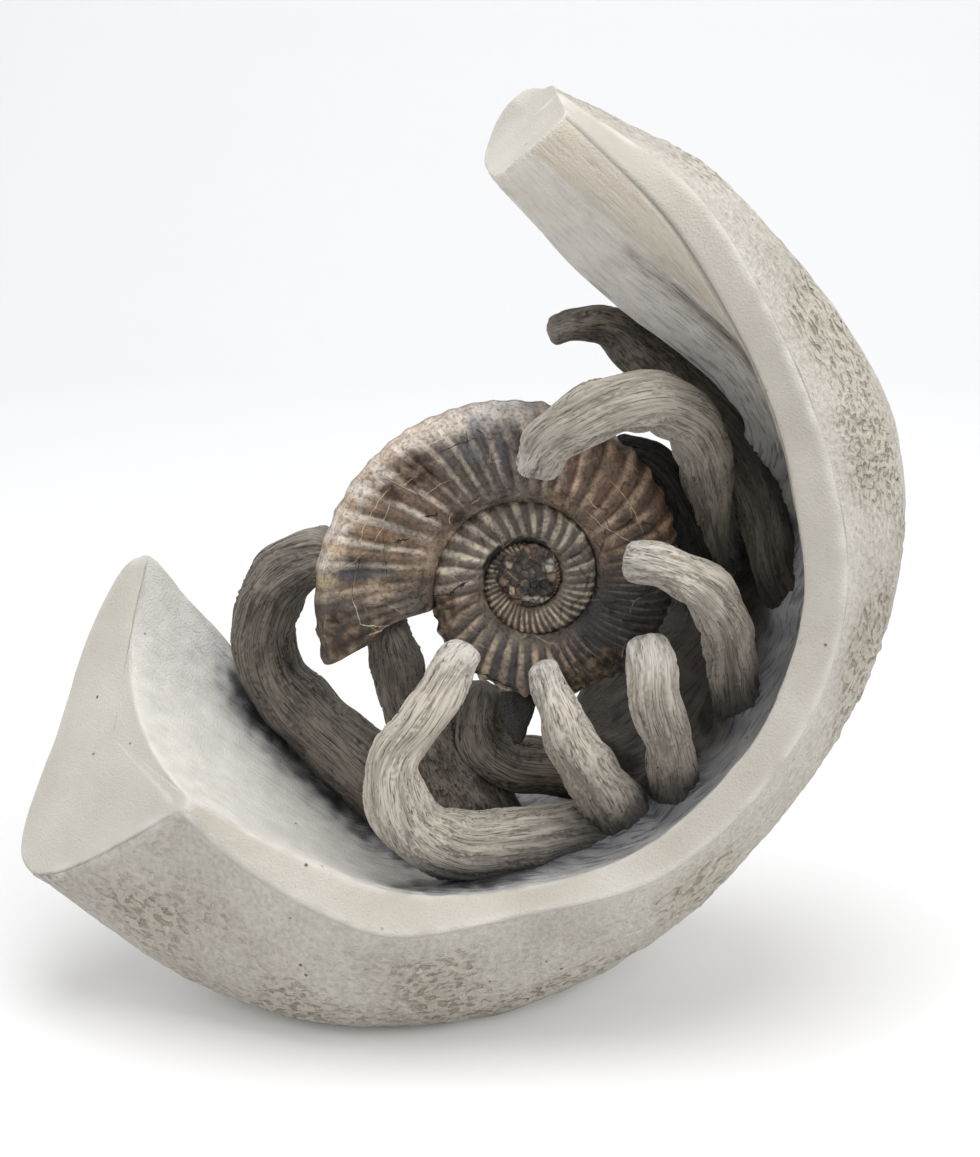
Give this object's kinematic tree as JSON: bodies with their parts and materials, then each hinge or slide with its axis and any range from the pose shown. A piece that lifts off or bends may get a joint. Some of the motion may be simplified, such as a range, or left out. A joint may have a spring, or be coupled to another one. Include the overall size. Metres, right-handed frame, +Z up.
{
  "type": "ammonite fossil",
  "caption": "Ribbed spiral ammonite held clear by curled stone arms that rise from the hollow of a free-standing crescent of pale limestone.",
  "frame": {"origin": "middle of the bounding box on the surface that the crescent stands on", "axes": "+Z up; the ammonite's shown side faces -Y; the crescent opens towards -X and +Z"},
  "size_m": [0.2337, 0.1006, 0.2455],
  "materials": {
    "shell_calcite": "brown and honey calcite, polished on the ribs, dark in the seams",
    "crescent_limestone": "matt, rubbed smooth on the lip, pitted skin outside",
    "arm_limestone": "matt grey with fine scratches along each arm",
    "dark_arm_limestone": "matt dark grey-brown with fine scratches along each arm"
  },
  "bodies": {
    "root": {"ammonite": "shell_calcite", "stone_crescent": "crescent_limestone", "arm_front_middle": "arm_limestone", "arm_front_left": "arm_limestone", "arm_front_right": "arm_limestone", "arm_side": "arm_limestone", "arm_over": "arm_limestone", "arm_back_left": "dark_arm_limestone", "arm_back_aperture": "dark_arm_limestone", "arm_back_low": "dark_arm_limestone", "arm_back_right": "dark_arm_limestone", "arm_back_top": "dark_arm_limestone"}
  },
  "joints": []
}
